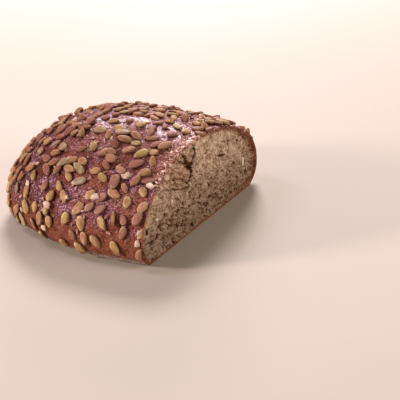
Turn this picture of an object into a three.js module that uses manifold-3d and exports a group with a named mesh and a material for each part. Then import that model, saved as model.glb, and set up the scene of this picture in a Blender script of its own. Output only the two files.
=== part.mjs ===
// A cut loaf of pumpkin seed bread, lying on its flat base.
// An oval hearth loaf was sliced across, a little past its middle. Pumpkin seeds are baked
// into the crust, and the crumb is torn beside the upper edge of the cut.
// Millimetres, +Z up. The origin is on the table, in the middle of the footprint, and the
// cut face looks along +X.

import * as THREE from "three";
import { mergeVertices } from "three/addons/utils/BufferGeometryUtils.js";
import Module from "manifold-3d";

// The whole loaf, before it was sliced
const LOAF_LENGTH = 251;
const LOAF_WIDTH = 190;
const LOAF_HEIGHT = 85;
const BELLY_HEIGHT = 18.3; // level at which the loaf is widest
const UNDERSIDE_DEPTH = 34.8; // half-axis of the rounding below the belly
const LOAF_TURN = THREE.MathUtils.degToRad(9.2); // long axis from the cut's normal
const CREST_RISE_ALONG = -0.096; // the top climbs away from the cut
const CREST_RISE_ACROSS = -0.159; // and leans towards the front

// Fullness of its curves: 2 is an ellipse, more is squarer
const PLAN_FULLNESS = 2.56;
const FRONT_FULLNESS = 1.87;
const BACK_FULLNESS = 2.33;
const UNDERSIDE_FULLNESS = 2.24;

// Swells of the crust, as a share of the distance from the loaf's middle
const SWELL_SHARE = 0.006;
const SWELLS = [
  { wavesRound: 3, wavesUp: 2, phase: 0.4 },
  { wavesRound: 5, wavesUp: -3, phase: 1.9 },
  { wavesRound: 8, wavesUp: 5, phase: 4.4 },
];
const FACETS_ROUND = 44;
const FACETS_UP = 26;

// The cut, and where the loaf's middle lies behind it
const CUT_X = 83;
const CUT_PAST_MIDDLE = 39.5;

// Pumpkin seeds, the largest placed first
const SEED_COUNT = 200;
const SEED_LENGTH_LARGEST = 14.5;
const SEED_LENGTH_SMALLEST = 9.5;
const SEED_SLIMMEST = 0.5; // width as a share of length
const SEED_BROADEST = 0.64;
const SEED_EDGE = 1.2; // height of its rim above the crust
const SEED_CROWN = 2.3; // height of its middle above the crust
const SEED_ROOT = 6; // depth to which its sides run on inside the dough
const SEED_TAPER = 0.28; // how much slimmer the tip is than the blunt end
const SEED_SPACING = 8.6; // between the middles of two seeds
const SEED_SIDES = 8;
const SEED_TRIES = 60000;
const STRETCH_MARGIN = 1.3; // the crust's largest stretch against an oval dome's
const RANDOM_START = 20261;
const BARE_FOOT_AT_CUT = 24; // height of the seedless band above the table
const BARE_FOOT_AT_END = 8;
const LEAN_SPREAD = THREE.MathUtils.degToRad(35); // on steep sides, seeds lie up and down
const LEAN_ONSET = 3; // how near the top they start to lie any way round

// The torn crumb on the cut face, as distances across (+Y) and up (+Z)
const TEAR_DEPTH = 9;
const TEAR_FLOOR_SHARE = 0.45; // width of the tear's floor against its mouth
const TEAR_OUTLINE = [
  [-7.5, 77],
  [-9.5, 69],
  [-16, 63],
  [-14.5, 56],
  [-17, 50],
  [-21, 44],
  [-21.5, 51],
  [-19.5, 57],
  [-22.5, 62],
  [-29, 71],
  [-25.5, 73.5],
  [-20.5, 67],
  [-14, 69],
  [-12, 76],
];
const CRAG_RISE = 2.4; // how far the torn crumb stands out of the cut
const CRAG_ROUGHNESS = 0.24; // how uneven a lump of it is, as a share of its size
const CRAGS = [
  { across: -19.5, up: 72.5, size: 4.2 },
  { across: -34, up: 68, size: 8.5 },
  { across: -27.5, up: 57, size: 7 },
  { across: -43, up: 62, size: 7.5 },
  { across: -36, up: 52, size: 8 },
  { across: -25, up: 47, size: 5 },
];

const wasm = await Module();
wasm.setup();
const { Manifold } = wasm;
const UP = new THREE.Vector3(0, 0, 1);

// Mulberry32: an even random draw from 0 to 1, the same on every run
function randomDraws(start) {
  let state = start;
  return () => {
    state = (state + 0x6d2b79f5) | 0;
    let mixed = Math.imul(state ^ (state >>> 15), state | 1);
    mixed = (mixed + Math.imul(mixed ^ (mixed >>> 7), mixed | 61)) ^ mixed;
    return ((mixed ^ (mixed >>> 14)) >>> 0) / 4294967296;
  };
}

function signedPower(value, exponent) {
  return Math.sign(value) * Math.abs(value) ** exponent;
}

// A point of the whole loaf's crust. planAngle runs round the loaf from its cut end, and rise
// runs from straight down, through 0 at the belly, to straight up.
function crustPoint(planAngle, rise) {
  const above = rise >= 0;
  const backShare = (1 + Math.sin(planAngle)) / 2;
  const fullness = above
    ? THREE.MathUtils.lerp(FRONT_FULLNESS, BACK_FULLNESS, backShare)
    : UNDERSIDE_FULLNESS;
  const reach = Math.max(Math.cos(rise), 0) ** (2 / fullness);
  const climb = Math.abs(Math.sin(rise)) ** (2 / fullness);
  const along = reach * signedPower(Math.cos(planAngle), 2 / PLAN_FULLNESS);
  const across = reach * signedPower(Math.sin(planAngle), 2 / PLAN_FULLNESS);
  const crest = 1 + CREST_RISE_ALONG * along + CREST_RISE_ACROSS * across;
  const height = above
    ? (LOAF_HEIGHT - BELLY_HEIGHT) * crest * climb
    : -UNDERSIDE_DEPTH * climb;
  const swell = SWELLS.reduce(
    (sum, { wavesRound, wavesUp, phase }) =>
      sum + SWELL_SHARE * reach * Math.sin(wavesRound * planAngle + wavesUp * rise + phase),
    1,
  );
  return new THREE.Vector3((LOAF_LENGTH / 2) * along, (LOAF_WIDTH / 2) * across, height)
    .multiplyScalar(swell)
    .applyAxisAngle(UP, LOAF_TURN)
    .add(new THREE.Vector3(CUT_X - CUT_PAST_MIDDLE, 0, BELLY_HEIGHT));
}

// The crust's tangents and outward normal at a point, and stretch, the area of crust there
// for each unit of area on a ball
function crustFrame(planAngle, rise) {
  const step = 0.002;
  const point = crustPoint(planAngle, rise);
  const round = crustPoint(planAngle + step, rise).sub(crustPoint(planAngle - step, rise));
  const upward = crustPoint(planAngle, rise + step).sub(crustPoint(planAngle, rise - step));
  const normal = new THREE.Vector3().crossVectors(round, upward);
  const stretch = normal.length() / (4 * step * step * Math.cos(rise));
  round.normalize();
  normal.normalize();
  const slope = new THREE.Vector3().crossVectors(normal, round);
  return { point, round, slope, normal, stretch };
}

// A closed geometry as a solid that can be joined and cut
function solidOf(geometry) {
  const bare = geometry.clone();
  bare.deleteAttribute("normal");
  bare.deleteAttribute("uv");
  const merged = mergeVertices(bare, 1e-3);
  return new Manifold(
    new wasm.Mesh({
      numProp: 3,
      vertProperties: new Float32Array(merged.attributes.position.array),
      triVerts: new Uint32Array(merged.index.array),
    }),
  );
}

function geometryOf(solid) {
  const { vertProperties, triVerts } = solid.getMesh();
  const geometry = new THREE.BufferGeometry();
  geometry.setAttribute("position", new THREE.BufferAttribute(vertProperties, 3));
  geometry.setIndex(new THREE.BufferAttribute(triVerts, 1));
  geometry.computeVertexNormals();
  return geometry;
}

// Moves every vertex of a geometry to where place sends it
function reshape(geometry, place) {
  const position = geometry.attributes.position;
  const vertex = new THREE.Vector3();
  for (let i = 0; i < position.count; i++) {
    const { x, y, z } = place(vertex.fromBufferAttribute(position, i));
    position.setXYZ(i, x, y, z);
  }
  return geometry;
}

// A box that takes away everything on one side of the loaf
function halfSpace(centre) {
  const size = 2 * LOAF_LENGTH;
  return solidOf(new THREE.BoxGeometry(size, size, size).translate(...centre));
}

function wholeDough() {
  const ball = new THREE.SphereGeometry(1, FACETS_ROUND, FACETS_UP).rotateX(Math.PI / 2);
  return solidOf(
    reshape(ball, (p) =>
      crustPoint(Math.atan2(p.y, p.x), Math.asin(THREE.MathUtils.clamp(p.z, -1, 1))),
    ),
  );
}

// A pumpkin seed: a crowned oval, slimmer towards one tip, set into the crust
function seedSolid({ frame, length, width, turn }) {
  const tip = frame.round
    .clone()
    .multiplyScalar(Math.cos(turn))
    .addScaledVector(frame.slope, Math.sin(turn));
  const side = new THREE.Vector3().crossVectors(frame.normal, tip);
  const lens = new THREE.SphereGeometry(1, SEED_SIDES, 2).rotateX(Math.PI / 2);
  return solidOf(
    reshape(lens, (p) =>
      frame.point
        .clone()
        .addScaledVector(tip, (length / 2) * p.x)
        .addScaledVector(side, (width / 2) * p.y * (1 - SEED_TAPER * p.x))
        .addScaledVector(
          frame.normal,
          SEED_EDGE + p.z * (p.z > 0 ? SEED_CROWN - SEED_EDGE : SEED_EDGE + SEED_ROOT),
        ),
    ),
  );
}

// Height of the seedless band: tallest beside the cut
function bareFoot(x) {
  const farEnd = CUT_X - CUT_PAST_MIDDLE - LOAF_LENGTH / 2;
  return THREE.MathUtils.mapLinear(x, farEnd, CUT_X, BARE_FOOT_AT_END, BARE_FOOT_AT_CUT);
}

// Scatters seeds evenly over the crust, none closer than the spacing to one before it
function scatterSeeds() {
  const draw = randomDraws(RANDOM_START);
  const mostStretch = (STRETCH_MARGIN * LOAF_LENGTH * LOAF_WIDTH) / 4;
  const seeds = [];
  for (let tries = 0; tries < SEED_TRIES && seeds.length < SEED_COUNT; tries++) {
    const planAngle = 2 * Math.PI * draw();
    const frame = crustFrame(planAngle, Math.asin(2 * draw() - 1));
    const { point, normal, stretch } = frame;
    const even = draw() * mostStretch < stretch;
    const seeded = point.x < CUT_X && point.z > bareFoot(point.x);
    const free = seeds.every((s) => s.frame.point.distanceTo(point) > SEED_SPACING);
    if (!even || !seeded || !free) continue;
    const length = THREE.MathUtils.lerp(
      SEED_LENGTH_LARGEST,
      SEED_LENGTH_SMALLEST,
      seeds.length / SEED_COUNT,
    );
    const width = length * THREE.MathUtils.lerp(SEED_SLIMMEST, SEED_BROADEST, draw());
    const spread = THREE.MathUtils.lerp(LEAN_SPREAD, Math.PI, normal.z ** LEAN_ONSET);
    const upright = draw() < 0.5 ? Math.PI / 2 : -Math.PI / 2;
    seeds.push({ frame, length, width, turn: upright + spread * (2 * draw() - 1) });
  }
  return seeds;
}

// The tear, narrowing towards its floor inside the loaf
function tearSolid() {
  const outline = new THREE.Shape(TEAR_OUTLINE.map(([across, up]) => new THREE.Vector2(across, up)));
  const middle = new THREE.Box2().setFromPoints(outline.getPoints()).getCenter(new THREE.Vector2());
  const slot = new THREE.ExtrudeGeometry(outline, { depth: 2 * TEAR_DEPTH, bevelEnabled: false });
  return solidOf(
    reshape(slot, (p) => {
      const share = p.z > TEAR_DEPTH ? 1 : TEAR_FLOOR_SHARE;
      return new THREE.Vector3(
        CUT_X + p.z - TEAR_DEPTH,
        middle.x + share * (p.x - middle.x),
        middle.y + share * (p.y - middle.y),
      );
    }),
  );
}

// A rough lump of torn crumb that stands a little out of the cut face
function cragSolid({ across, up, size }) {
  const lump = new THREE.IcosahedronGeometry(1, 1);
  reshape(lump, (p) => p.multiplyScalar(1 + CRAG_ROUGHNESS * Math.sin(across + 9 * p.y + 7 * p.z)));
  return solidOf(lump.scale(CRAG_RISE, size, size).translate(CUT_X, across, up));
}

function loafSolid() {
  const seeded = Manifold.union([wholeDough(), ...scatterSeeds().map(seedSolid)]);
  const cut = seeded
    .subtract(halfSpace([0, 0, -LOAF_LENGTH]))
    .subtract(halfSpace([CUT_X + LOAF_LENGTH, 0, 0]));
  const torn = Manifold.union([cut, ...CRAGS.map(cragSolid)]).subtract(tearSolid());
  return torn.decompose().sort((a, b) => b.volume() - a.volume())[0];
}

const crust = new THREE.MeshStandardMaterial({ color: 0x8a5140, roughness: 0.5, metalness: 0 });
const loaf = new THREE.Mesh(geometryOf(loafSolid()), crust);
loaf.name = "loaf";

const bread = new THREE.Group();
bread.add(loaf);

export default bread;
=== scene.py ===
import math

import bmesh
import bpy
import numpy as np
from mathutils import Matrix, Quaternion, Vector
from mathutils.geometry import delaunay_2d_cdt
from mathutils.kdtree import KDTree


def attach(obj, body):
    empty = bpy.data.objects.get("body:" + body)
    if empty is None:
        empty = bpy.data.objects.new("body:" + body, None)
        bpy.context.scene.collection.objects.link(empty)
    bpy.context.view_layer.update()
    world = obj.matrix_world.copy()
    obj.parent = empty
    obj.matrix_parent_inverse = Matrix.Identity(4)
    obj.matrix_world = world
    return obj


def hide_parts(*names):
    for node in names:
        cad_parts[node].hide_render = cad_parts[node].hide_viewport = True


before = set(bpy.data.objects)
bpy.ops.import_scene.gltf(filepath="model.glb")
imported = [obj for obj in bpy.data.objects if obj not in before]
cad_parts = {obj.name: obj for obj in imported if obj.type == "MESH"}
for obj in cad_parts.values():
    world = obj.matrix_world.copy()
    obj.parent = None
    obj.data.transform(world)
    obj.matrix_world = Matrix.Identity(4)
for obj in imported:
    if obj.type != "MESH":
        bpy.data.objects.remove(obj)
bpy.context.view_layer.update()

# Sizes are in millimetres, as in the loaf's solid, and become metres in the meshes
MM = 0.001

# The whole loaf before it was cut, with the same values as the solid
LOAF_LENGTH = 251
LOAF_WIDTH = 190
LOAF_HEIGHT = 85
BELLY_HEIGHT = 18.3
UNDERSIDE_DEPTH = 34.8
LOAF_TURN = math.radians(9.2)
CREST_RISE_ALONG = -0.096
CREST_RISE_ACROSS = -0.159
PLAN_FULLNESS = 2.56
FRONT_FULLNESS = 1.87
BACK_FULLNESS = 2.33
UNDERSIDE_FULLNESS = 2.24
SWELL_SHARE = 0.006
SWELLS = ((3, 2, 0.4), (5, -3, 1.9), (8, 5, 4.4))  # waves round, waves up, phase
CUT_X = 83
CUT_PAST_MIDDLE = 39.5
OUT_OF_CUT = (1, 0, 0)
DOWN = (0, 0, -1)

# How finely the bread's skin is divided
CRUST_STEPS = 130  # along each side of the cube that is blown up into the crust
CRUMB_SPACING = 0.555
BASE_SPACING = 3.0
SNAP = 0.12  # a point this near to a cut counts as on it
CUT_MARGIN = 4  # the crust is made this far past its cuts and then cut off
RIM_CLEARANCE = 0.6  # how many spacings a face's points keep from its rim
KERNEL_SNAP = 1e-6  # in metres, as the kernels are cut when they are already meshes
SHARP_ANGLE = math.radians(60)

# Plan angles and rises among which a point of the crust is looked for, on one side or at the cut
SIDE_PLANS = np.linspace(0.3, math.pi - 0.1, 400)
SIDE_RISES = np.linspace(-0.3, math.pi / 2, 200)
CUT_PLANS = np.linspace(-math.pi / 2, math.pi / 2, 120)
CUT_RISES = np.linspace(0.3, math.pi / 2, 40)

# The bread's relief, and how near to the edges it fades out
RELIEF_SIZES = {
    "Wrinkle height": 1.6,
    "Blister height": 0.5,
    "Splinter height": 5.0,
    "Seed dip": 0.35,
    "Grain height": 4.0,
    "Pit depth": 1.3,
    "Torn height": 2.0,
}
SURFACES = ("Crust", "Crumb", "Base")
CRUST_FADE_AT_CUT = 2
CRUST_FADE_AT_BASE = 3
CRUMB_FADE = 1.5

# Pumpkin seeds: the solid's by the same rule and draws, a little shorter, then smaller ones between
# them, and a closer layer that lies across others on the top
SEED_COUNT = 200
SEED_ROUNDS = (  # how many, how far apart, how much the crust must face up, how far lifted, how far down
    (SEED_COUNT, 8.6, -1.0, 0.0, 0.0),
    (70, 9.2, -1.0, 0.0, 9.0),
    (56, 5.6, 0.7, 0.9, 0.0),
)
SEED_LENGTH_LARGEST = 13.4
SEED_LENGTH_SMALLEST = 9.0
SEED_SLIMMEST = 0.5
SEED_BROADEST = 0.64
SEED_CROWN = 2.6
SEED_THICKNESS = 3.0
SEED_THICKNESS_SHARES = (0.85, 1.12)
SEED_HEIGHT_SHIFTS = (-0.5, 0.3)
SEED_TRIES = 90000
STRETCH_MARGIN = 1.3
RANDOM_START = 20261
PLACING_START = 5
BARE_FOOT_AT_CUT = 24
BARE_FOOT_AT_END = 8
LEAN_SPREAD = math.radians(35)
LEAN_ONSET = 3
SEED_TILT = math.radians(10)  # how far a seed rocks out of the crust's slope
PALE_SEEDS_BELOW = 60  # the seeds get riper and paler from this height down
RIPENESS_AT_BASE = 0.4

# Seeds that stand on their edges: along, up, side of the loaf, length
STANDING_SEEDS = ((58, 40, -1, 12.0), (80, 50, 1, 11.0))
STANDING_TILTS = (0.15, 0.2)
STANDING_THICKNESS = 0.8 * SEED_THICKNESS
STANDING_TONES = (0.3, 0.7)
STANDING_LIFT = 2

# Snapped kernels that show their pale flesh: those that stand out in front, then others at random
PALE_KERNELS = (  # along, up, length
    (0, 38, 7.5),
    (15, 47, 5.0),
    (40, 52, 8.0),
    (54, 66, 8.5),
    (77, 63, 7.0),
    (31, 40, 3.5),
    (80, 23, 6.0),
    (81, 34, 5.0),
)
BROKEN_COUNT = 24
BROKEN_SPACING = 7.0
BROKEN_START = 77
BROKEN_FROM_CUT = 3
BROKEN_ROCK = 0.2
BROKEN_LENGTHS = (3.5, 7)
BROKEN_WIDTHS = (0.55, 0.8)  # as shares of the length
BROKEN_THICKNESSES = (1.6, 2.4)
UNSNAPPED_LENGTH = 1.4  # length before the tip snapped off, as a share of what is left
ON_SEED_WITHIN = 6  # a snapped kernel this near to a whole seed lies on it
LIFT_ON_SEED = 2.2
LIFT_ON_CRUST = 0.8

# Chips of crust: flakes along the torn part of the rim, chips along the rest, and lifted skin all over
FLAKE_COUNT = 380
FLAKE_REACH = (-66, -2)  # across
FLAKE_INWARD = (-16, 4)  # from the rim: back over the crust, or down the cut face
FLAKE_LIFT = (0.3, 0, 0.2)
TORN_FLAKE = {
    "rock": 0.6,
    "lengths": (2.0, 7.0),
    "widths": (0.35, 0.8),
    "thicknesses": (0.5, 0.9),
    "shortness": 2,
}
RIM_CHIP_COUNT = 70
RIM_CHIP_REACH = (-2, 90)
RIM_CHIP_SHIFTS = ((-4.0, 0.2), (-0.6, 0.4))  # along, up
RIM_CHIP_TONES = (-0.3, 0.5)
RIM_CHIP = {"rock": 0.5, "lengths": (2, 4.5), "widths": (0.4, 0.8), "thicknesses": (0.7, 1.3)}
SKIN_FLAKE_COUNT = 300
SKIN_FLAKE_FROM_CUT = 4
SKIN_FLAKE_LIFT = 0.5
SKIN_FLAKE_TONES = (-0.3, 0.45)
SKIN_FLAKE = {"rock": 0.3, "lengths": (2.5, 6), "widths": (0.3, 0.7), "thicknesses": (0.5, 0.9)}

# Seeds baked into the crumb and cut through
SLIVERS = (  # across, up, length, width, tilt
    (71.0, 29.3, 8.5, 2.2, 0.03),
    (-46.0, 42.0, 3.0, 2.2, 0.6),
    (-68.0, 36.0, 3.4, 1.8, 1.2),
)
SLIVER_THICKNESS = 1.6
SLIVER_PROUD = 0.5
SLIVER_TONE = 0.5

# The shapes of the kernels: the inputs of their tree, and their values for each kind
KERNEL_INPUTS = {
    "Segments": "Int",
    "Rings": "Int",
    "Taper": "Float",
    "Pointedness": "Float",
    "Squareness": "Float",
    "Snapped at": "Float",
    "Warp size": "Float",
    "Warp height": "Float",
}
KERNEL_SHAPES = {
    "pumpkin_seeds": (12, 6, 0.16, 0.35, 0.5, 1.0, 5.0, 0.5),
    "broken_seeds": (10, 6, 0.1, 0.0, 0.5, 0.3, 3.0, 1.4),
    "crust_flakes": (7, 4, 0.3, 0.2, 0.4, 0.7, 2.2, 0.9),
    "seed_slivers": (12, 6, 0.1, 0.2, 0.5, 1.0, 3.0, 0.4),
}
PLATE_SHARE = 0.3  # how far a kernel's rounding is pushed out to its edge
AXIS_CLEARANCE = 0.001

# Where the crust is torn or glossy
TORN_RIM_WIDTH = 17
TORN_RIM_FADE = 8
TORN_RIM_HEIGHTS = (30, 45)  # not torn below the first, fully above the second
TORN_FREE_OF_SEEDS = 0.3  # where the crust is torn more than this, its seeds are gone with it
BURST_BLISTER = (62, -81, 51)  # a rough spot on the front of the crust
BURST_REACH = 15
BURST_FULLNESS = 1.5
BURST_SHARE = 0.7
# The glossy patches on the top get a coat and a painted highlight in their colour
GLOSS_PATCHES = ((62, -9, 26), (30, -2, 17), (14, -21, 18), (-6, -15, 16))  # along, across, reach
GLOSS_FREE_OF_SEEDS = 0.7  # within this share of a patch's reach there are only the solid's seeds
GLOSS_FULL_WITHIN = 0.2
GLOSS_HEIGHTS = (66, 74)

# The tear in the cut face, as points across (+Y) and up (+Z), with its half width there
TEAR_BRANCHES = (
    (
        (-29.0, 75.0, 1.4),
        (-27.0, 72.0, 2.2),
        (-24.0, 66.5, 2.7),
        (-17.0, 60.0, 2.8),
        (-14.0, 54.7, 2.6),
        (-15.5, 51.0, 2.5),
        (-20.5, 48.5, 2.3),
        (-19.5, 43.5, 1.4),
    ),
    ((-10.5, 76.0, 1.2), (-10.0, 73.0, 1.9), (-9.0, 67.5, 2.1), (-12.5, 64.0, 1.9), (-16.0, 59.5, 2.4)),
    ((-41.5, 60.0, 0.9), (-41.4, 57.5, 1.6), (-41.5, 53.5, 1.5), (-43.5, 51.0, 0.8)),
    ((-60.0, 57.0, 0.4), (-48.0, 53.0, 0.6), (-40.0, 49.5, 0.8), (-28.0, 45.5, 0.6), (-17.0, 41.5, 0.4)),
)
TEAR_DEPTH = 4.2
TEAR_STEEPNESS = 2.2
TEAR_WAVES_ACROSS = ((0.7, 1.7, 1.0), (0.45, 3.9, 0.0))  # size, radians a millimetre, phase
TEAR_WAVES_UP = ((0.6, 1.9, 2.0),)
TORN_PATCHES = (  # across, up, reach
    (-33, 68, 17),
    (-29, 56, 15),
    (-44, 61, 15),
    (-24, 46, 9),
    (-16, 67, 10),
)
TORN_FULLNESS = 1.4
HOLES = (  # across, up, half length, half height, tilt in degrees
    (35.4, 49.3, 6.5, 1.5, -15),
    (45.5, 56.8, 1.8, 3.2, 0),
    (72.0, 52.0, 2.2, 1.6, 20),
    (10.4, 63.0, 4.0, 1.2, 25),
    (4.5, 53.0, 2.0, 1.2, 0),
    (30.6, 38.0, 2.2, 1.3, -10),
    (42.8, 28.0, 2.0, 1.2, 15),
    (10.6, 13.7, 3.0, 2.1, 0),
    (-1.0, 26.2, 2.3, 1.5, 0),
    (-16.9, 37.7, 2.4, 1.5, -20),
    (-35.7, 27.9, 2.6, 1.8, 30),
    (-45.2, 28.0, 2.0, 1.4, 0),
    (-55.2, 34.0, 2.2, 1.8, 0),
    (-62.8, 27.7, 3.2, 2.3, 10),
    (-67.4, 20.1, 3.3, 2.5, 20),
    (-74.7, 18.3, 2.6, 2.5, 0),
    (-81.5, 30.3, 2.1, 3.2, 15),
    (-87.0, 8.0, 2.8, 1.9, 0),
    (-30.0, 14.0, 2.6, 1.8, 15),
)
HOLE_DEPTH = 3.2
HOLE_ROUNDNESS = 0.6
PORE_WAY = (0.0, 0.86, -0.51)  # the crumb's pores are drawn out this way in the cut face
PORE_STRETCH = 1.7

# The baked ring round the crumb: its thickness, and where it gets to that
RING_FRONT = 2.0
RING_BACK = 8.5
RING_FOOT = 7.0
RING_BASE = 2.2
RING_BACK_SPAN = (-10, 85)  # across
RING_BACK_ONSET = 2.5
RING_FOOT_SPAN = (-65, -95)
RING_FOOT_HEIGHTS = (30, 10)
RING_BASE_HEIGHTS = (6, 2)

# Colours of the seeds' skin by their tone, as seen on a screen
SEED_TONES = (
    (0.0, (138, 95, 83)),
    (0.25, (160, 114, 98)),
    (0.5, (197, 155, 111)),
    (0.8, (206, 176, 112)),
    (0.92, (194, 176, 112)),
    (1.0, (164, 168, 153)),
)
TONE_APART = 40.0  # how far apart the skin patterns of different seeds are taken

# The camera, placed where the photograph was taken from
CAMERA_PLACE = (529.26, -760.37, 472.62)
CAMERA_TARGET = (80.88, 2.65, 21.28)
CAMERA_LENS = 108
SENSOR_WIDTH = 36
CLIP_START = 0.05

# Studio light and floor, in metres
LIGHTS = (  # name, place, width and height, power, colour
    ("key_behind", (-1.05, 1.9, 2.05), (0.9, 0.75), 110, (0.97, 0.95, 0.98)),
    ("lilac_above", (-0.5, -0.3, 0.93), (0.34, 0.34), 4.2, (0.85, 0.72, 1.0)),
    ("glint_behind", (-0.53, 1.04, 0.48), (0.4, 0.25), 10, (0.96, 0.84, 1.0)),
    ("fill_right", (1.15, 0.2, 0.72), (0.6, 0.6), 9.0, (1.0, 0.93, 0.86)),
    ("fill_front", (-1.05, -1.05, 0.55), (0.25, 0.25), 27, (1.0, 0.93, 0.86)),
)
LIGHT_TARGET = (0.03, 0.0, 0.06)
ROOM_COLOUR = (0.96, 0.87, 0.82, 1)
ROOM_STRENGTH = 0.12
FLOOR_REACH = 6


# Small helpers


def srgb(red, green, blue):
    """A colour as seen on a screen, 0 to 255, in the linear values that shaders take."""
    shares = [value / 255 for value in (red, green, blue)]
    return [s / 12.92 if s <= 0.04045 else ((s + 0.055) / 1.055) ** 2.4 for s in shares] + [1.0]


def signed_power(value, exponent):
    """The power of a value's size, with the value's sign."""
    return np.sign(value) * np.abs(value) ** exponent


def lerp(low, high, share):
    """The value at a share of the way from low to high."""
    return low + (high - low) * share


def ramp(value, start, end):
    """How far a value has come from start to end, as a share from 0 to 1."""
    return np.clip((value - start) / (end - start), 0, 1)


def set_attribute(mesh, name, kind, values):
    """Keeps values at a mesh's points under a name."""
    attribute = mesh.attributes.new(name, kind, "POINT")
    field = "vector" if kind == "FLOAT_VECTOR" else "value"
    attribute.data.foreach_set(field, np.asarray(values, np.float32).ravel())


def new_piece(name, data):
    """A new object in the scene."""
    piece = bpy.data.objects.new(name, data)
    bpy.context.scene.collection.objects.link(piece)
    return piece


def cut_off(mesh, place, outward, snap):
    """Takes off what a bmesh has past a plane, and leaves it open there."""
    everything = mesh.verts[:] + mesh.edges[:] + mesh.faces[:]
    bmesh.ops.bisect_plane(
        mesh, geom=everything, dist=snap, plane_co=place, plane_no=outward, clear_outer=True
    )


# The dough's form


def fullness_at(plan_angle, above):
    """How square the upright profile is: rounder in front, squarer at the back."""
    back_share = (1 + np.sin(plan_angle)) / 2
    return np.where(above, lerp(FRONT_FULLNESS, BACK_FULLNESS, back_share), UNDERSIDE_FULLNESS)


def crust_points(plan_angle, rise):
    """Points of the whole loaf's crust. plan_angle runs round the loaf from its cut end, and rise
    from straight down, through 0 at the belly, to straight up."""
    above = rise >= 0
    fullness = fullness_at(plan_angle, above)
    reach = np.maximum(np.cos(rise), 0) ** (2 / fullness)
    climb = np.abs(np.sin(rise)) ** (2 / fullness)
    along = reach * signed_power(np.cos(plan_angle), 2 / PLAN_FULLNESS)
    across = reach * signed_power(np.sin(plan_angle), 2 / PLAN_FULLNESS)
    crest = 1 + CREST_RISE_ALONG * along + CREST_RISE_ACROSS * across
    height = np.where(above, (LOAF_HEIGHT - BELLY_HEIGHT) * crest * climb, -UNDERSIDE_DEPTH * climb)
    swell = 1 + sum(
        SWELL_SHARE * reach * np.sin(waves_round * plan_angle + waves_up * rise + phase)
        for waves_round, waves_up, phase in SWELLS
    )
    x = LOAF_LENGTH / 2 * along * swell
    y = LOAF_WIDTH / 2 * across * swell
    cosine, sine = math.cos(LOAF_TURN), math.sin(LOAF_TURN)
    turned_x = x * cosine - y * sine + CUT_X - CUT_PAST_MIDDLE
    return np.stack([turned_x, x * sine + y * cosine, height * swell + BELLY_HEIGHT], axis=-1)


def crust_angles(directions):
    """The plan angle and rise of the crust points that lie along directions from the middle."""
    dx, dy, dz = directions.T
    half_plan = PLAN_FULLNESS / 2
    plan_angle = np.arctan2(signed_power(dy, half_plan), signed_power(dx, half_plan))
    half_rise = fullness_at(plan_angle, dz >= 0) / 2
    return plan_angle, np.arctan2(signed_power(dz, half_rise), np.hypot(dx, dy) ** half_rise)


def crust_frame(plan_angle, rise):
    """A crust point with its tangents and outward normal, and stretch, the area of crust there
    for each unit of area on a ball."""
    step = 0.002
    point = crust_points(plan_angle, rise)
    round_way = crust_points(plan_angle + step, rise) - crust_points(plan_angle - step, rise)
    upward = crust_points(plan_angle, rise + step) - crust_points(plan_angle, rise - step)
    normal = np.cross(round_way, upward)
    area = np.linalg.norm(normal)
    stretch = area / (4 * step * step * math.cos(rise))
    normal = normal / area
    round_way = round_way / np.linalg.norm(round_way)
    return point, (round_way, np.cross(normal, round_way), normal), stretch


def nearest_on_crust(plans, rises, axes, wanted):
    """Plan angle and rise, from those given, of the crust point nearest to a place in two axes."""
    plan, rise = np.meshgrid(plans, rises)
    gaps = crust_points(plan, rise)[..., axes] - wanted
    nearest = np.hypot(gaps[..., 0], gaps[..., 1]).argmin()
    return plan.flat[nearest], rise.flat[nearest]


def crust_spot(along, up, side=-1):
    """Plan angle and rise of the crust's point at a distance along and up, in front or at the back."""
    return nearest_on_crust(side * SIDE_PLANS, SIDE_RISES, [0, 2], (along, up))


def crust_at_cut(across):
    """The crust's point on the cut plane at a distance across, on the loaf's upper side."""
    return crust_points(*nearest_on_crust(CUT_PLANS, CUT_RISES, [0, 1], (CUT_X, across)))


# The bread's mesh: crust, cut face and base in one closed skin


def ball_grid(steps):
    """Directions and quads of a cube blown up into a ball, which has no poles."""
    slopes = np.tan(np.linspace(-math.pi / 4, math.pi / 4, steps + 1))
    a, b = np.meshgrid(slopes, slopes, indexing="ij")
    one = np.ones_like(a)
    sides = ((one, a, b), (-one, b, a), (b, one, a), (a, -one, b), (a, b, one), (b, a, -one))
    corners = np.concatenate([np.stack(side, axis=-1).reshape(-1, 3) for side in sides])
    corners /= np.linalg.norm(corners, axis=1, keepdims=True)
    index = np.arange(len(corners)).reshape(6, steps + 1, steps + 1)
    quads = np.stack(
        [index[:, :-1, :-1], index[:, 1:, :-1], index[:, 1:, 1:], index[:, :-1, 1:]], axis=-1
    ).reshape(-1, 4)
    _, first, welded = np.unique(np.round(corners, 6), axis=0, return_index=True, return_inverse=True)
    return corners[first], welded.reshape(-1)[quads]


def cut_crust():
    """The crust as a bmesh, cut off at the base and at the cut face and open there."""
    directions, quads = ball_grid(CRUST_STEPS)
    points = crust_points(*crust_angles(directions))
    kept = (points[:, 0] < CUT_X + CUT_MARGIN) & (points[:, 2] > -CUT_MARGIN)
    quads = quads[kept[quads].any(axis=1)]
    used, quads = np.unique(quads, return_inverse=True)
    mesh = bpy.data.meshes.new("crust_grid")
    mesh.from_pydata(points[used].tolist(), [], quads.reshape(-1, 4).tolist())
    crust = bmesh.new()
    crust.from_mesh(mesh)
    bpy.data.meshes.remove(mesh)
    cut_off(crust, (0, 0, 0), DOWN, SNAP)
    cut_off(crust, (CUT_X, 0, 0), OUT_OF_CUT, SNAP)
    for vert in crust.verts:
        if vert.is_boundary:
            vert.co.z = 0 if vert.co.z < 2 * SNAP else vert.co.z
            vert.co.x = CUT_X if vert.co.x > CUT_X - 2 * SNAP else vert.co.x
    crust.verts.index_update()
    crust.verts.ensure_lookup_table()
    return crust


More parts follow.
